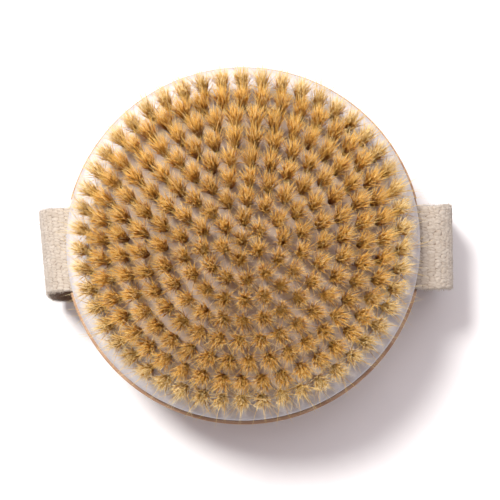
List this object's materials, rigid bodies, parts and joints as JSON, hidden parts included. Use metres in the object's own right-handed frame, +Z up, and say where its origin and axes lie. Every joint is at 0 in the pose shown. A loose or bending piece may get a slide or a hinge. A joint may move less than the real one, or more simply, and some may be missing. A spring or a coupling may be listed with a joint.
{
  "type": "body dry brush",
  "caption": "Round wooden-backed body brush with a light plate set with rings of natural bristle tufts and a cotton webbing hand strap across the back.",
  "frame": {"origin": "on the ground under the middle of the strap's flat run, on the axis of the round back", "axes": "+X along the strap, +Z up out of the bristles, so the brush lies on its strap with the bristles up"},
  "size_m": [0.1424, 0.12, 0.0747],
  "materials": {
    "beech": "fine sanded, clear oiled",
    "plate_plastic": "smooth satin off-white",
    "webbing": "undyed knitted cotton webbing",
    "staple_wire": "galvanised flat wire",
    "bristle": "natural straw-coloured bristle, darker at the roots",
    "anchor_wire": "plain drawn flat wire"
  },
  "bodies": {
    "root": {"wood_back": "beech", "bristle_plate": "plate_plastic", "hand_strap": "webbing", "strap_staples": "staple_wire", "tuft_centre": "bristle", "tuft_ring_1": "bristle", "tuft_ring_2": "bristle", "tuft_ring_3": "bristle", "tuft_ring_4": "bristle", "tuft_ring_5": "bristle", "tuft_ring_6": "bristle", "tuft_ring_7": "bristle", "tuft_ring_8": "bristle", "anchor_centre": "anchor_wire", "anchor_ring_1": "anchor_wire", "anchor_ring_2": "anchor_wire", "anchor_ring_3": "anchor_wire", "anchor_ring_4": "anchor_wire", "anchor_ring_5": "anchor_wire", "anchor_ring_6": "anchor_wire", "anchor_ring_7": "anchor_wire", "anchor_ring_8": "anchor_wire"}
  },
  "joints": []
}
